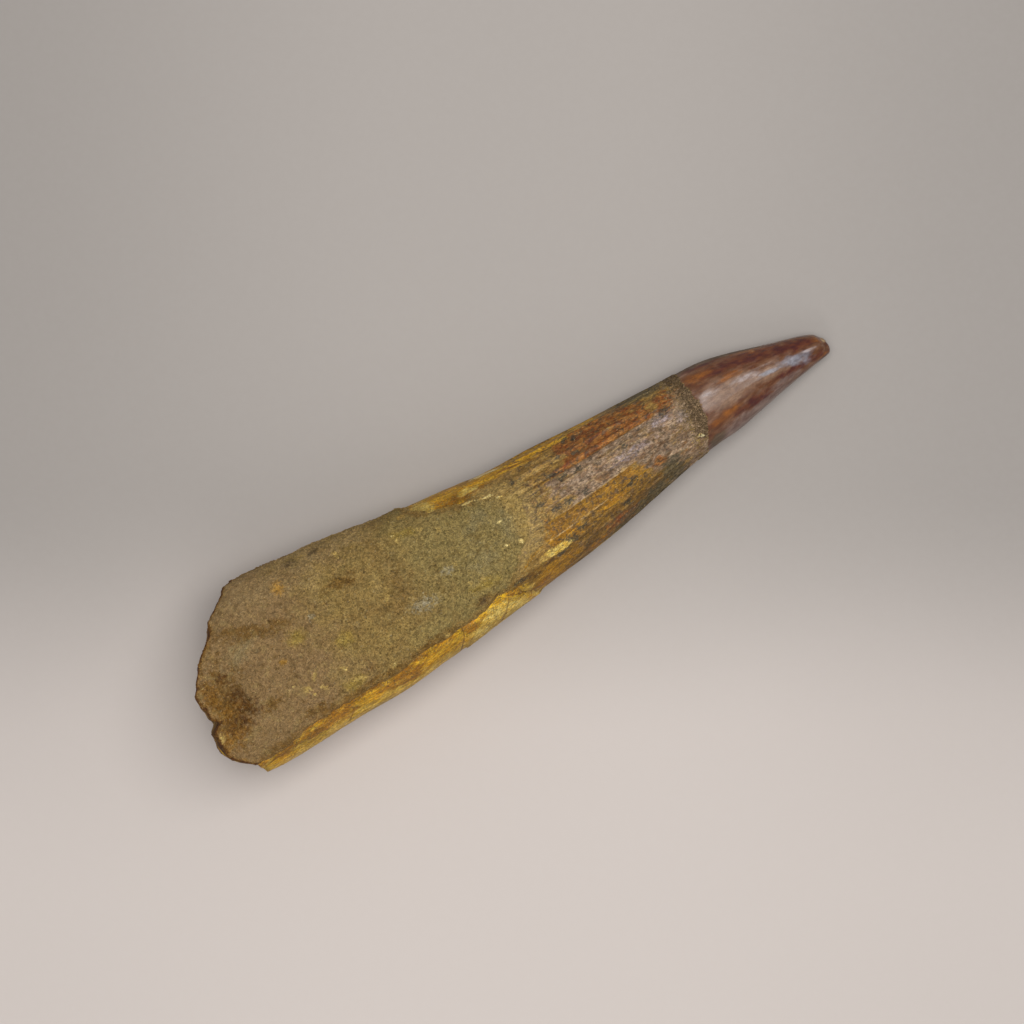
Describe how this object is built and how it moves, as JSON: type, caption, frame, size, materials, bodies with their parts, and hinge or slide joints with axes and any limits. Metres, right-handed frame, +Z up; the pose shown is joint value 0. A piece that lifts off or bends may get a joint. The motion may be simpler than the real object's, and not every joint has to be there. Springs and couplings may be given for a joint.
{
  "type": "spinosaurus tooth fossil",
  "caption": "Large conical fossil tooth lying on its side, with a glossy brown enamel tip, a fluted crown, and tan sandstone cemented over the front of its broken root.",
  "frame": {"origin": "centre of the bounding box's footprint, on the surface that the tooth lies on", "axes": "+X along the tooth towards its tip, +Y across it, +Z up through its sandstone-covered front"},
  "size_m": [0.1094, 0.0277, 0.0215],
  "materials": {
    "fossil_tooth": "fossil enamel, glossy red-brown at the tip, satin fluted tan and brown on the crown, yellow-ochre dentine on the root",
    "sandstone": "matte gritty tan-green sandstone"
  },
  "bodies": {
    "root": {"tooth": "fossil_tooth", "sandstone_matrix": "sandstone"}
  },
  "joints": []
}
